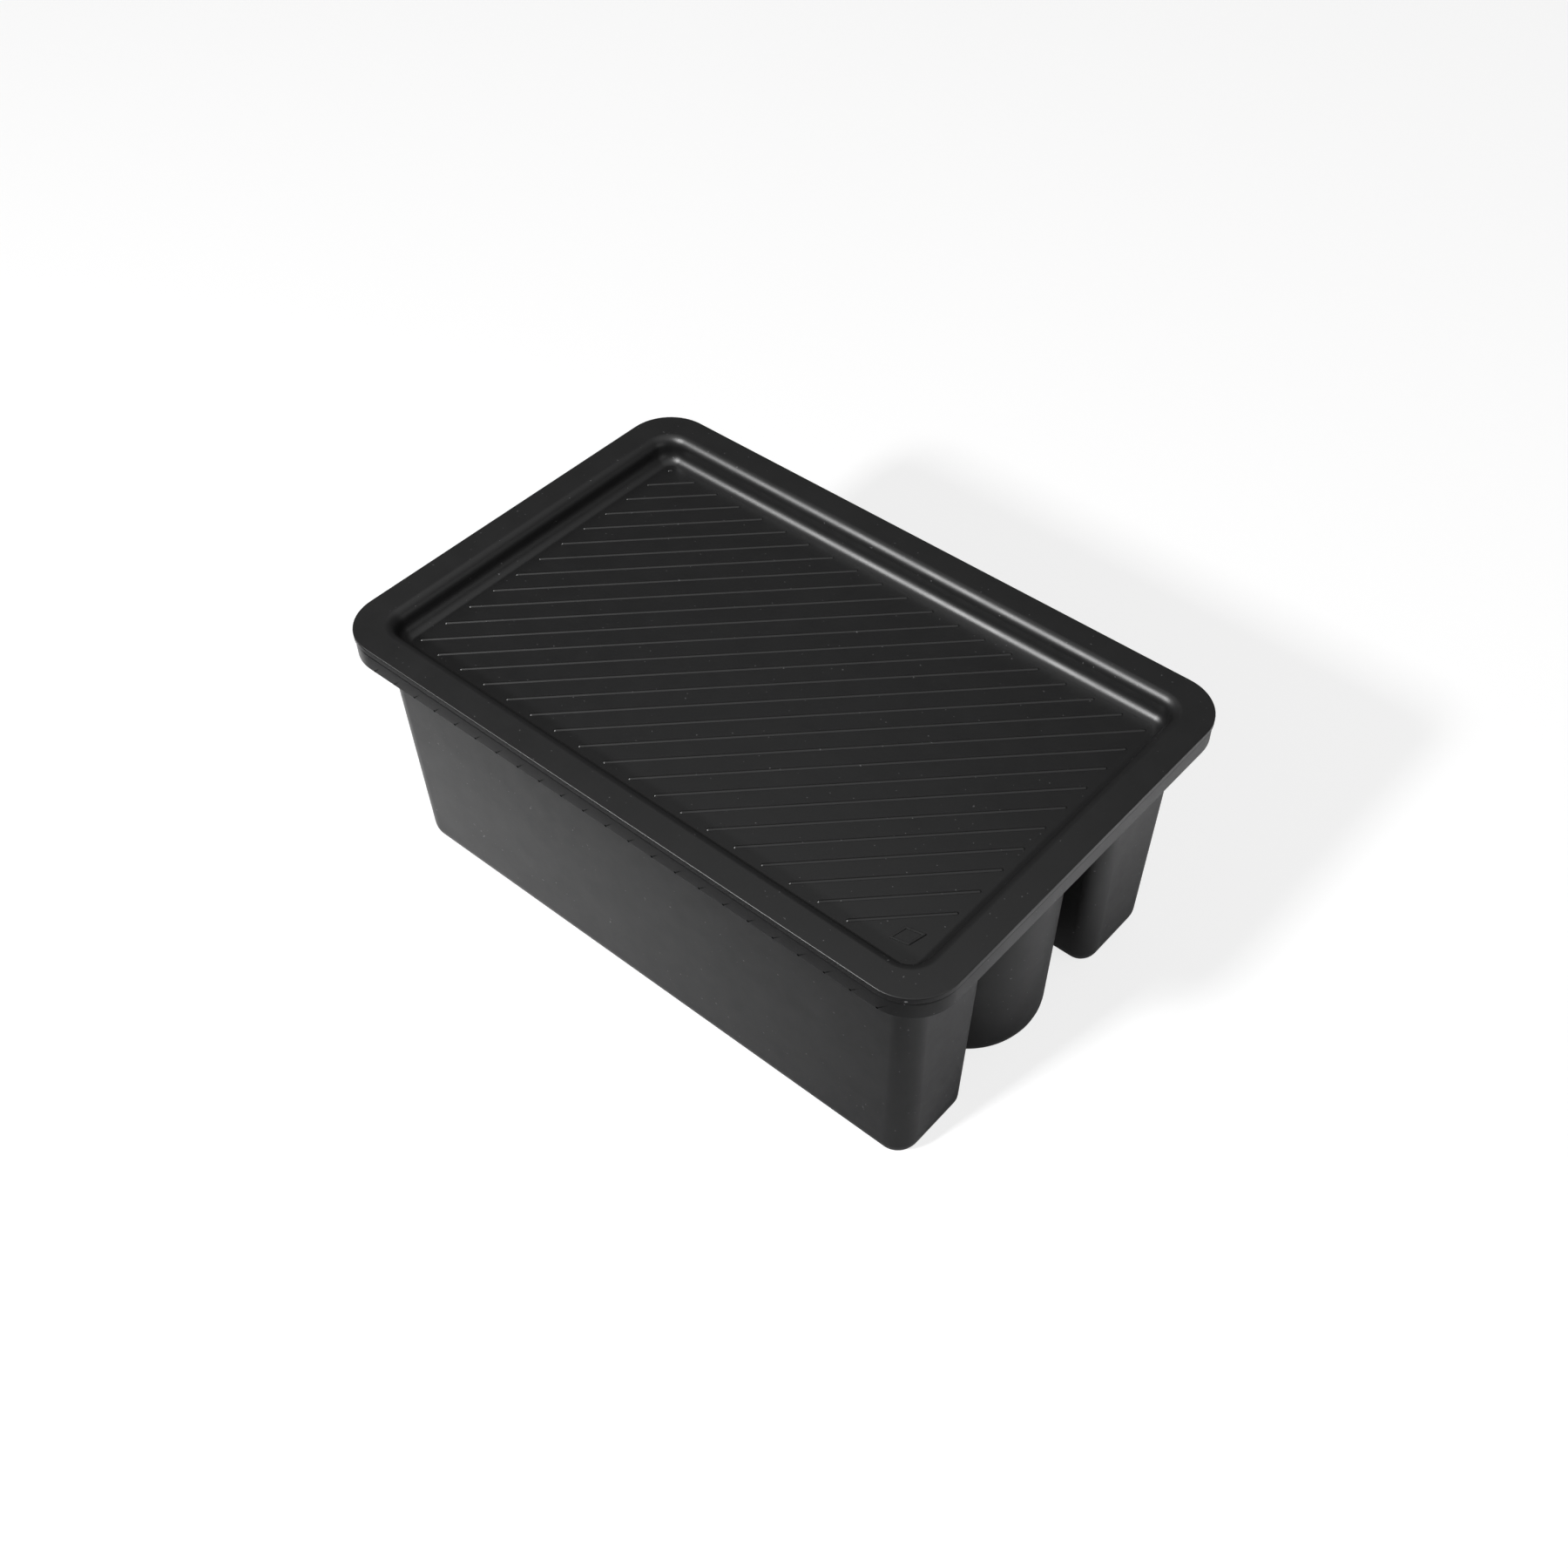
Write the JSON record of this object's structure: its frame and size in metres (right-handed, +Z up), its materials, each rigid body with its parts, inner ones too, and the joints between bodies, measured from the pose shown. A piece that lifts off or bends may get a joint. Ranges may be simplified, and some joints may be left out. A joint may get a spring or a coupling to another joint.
{
  "type": "lidded compartment tub",
  "caption": "Deep moulded plastic tub with a long trough, a round cup and rectangular bins, closed by a lift-off tray lid with raised diagonal ribs",
  "frame": {"origin": "centre of the base, on the plane the tub stands on", "axes": "+X along the long side towards the end with the round cup, -Y towards the front with the long trough, +Z up, the way the lid lifts"},
  "size_m": [0.35, 0.2292, 0.1467],
  "materials": {
    "tub_plastic": "near-black moulded polypropylene with a fine satin grain",
    "lid_plastic": "near-black moulded polypropylene with a fine satin grain"
  },
  "bodies": {
    "tub": {"compartment_tub": "tub_plastic"},
    "lid": {"tray_lid": "lid_plastic"}
  },
  "joints": [
    {"name": "lid_lift", "type": "slide", "parent": "tub", "child": "lid", "axis": [0, 0, 1], "range_m": [0, 0.12]}
  ]
}
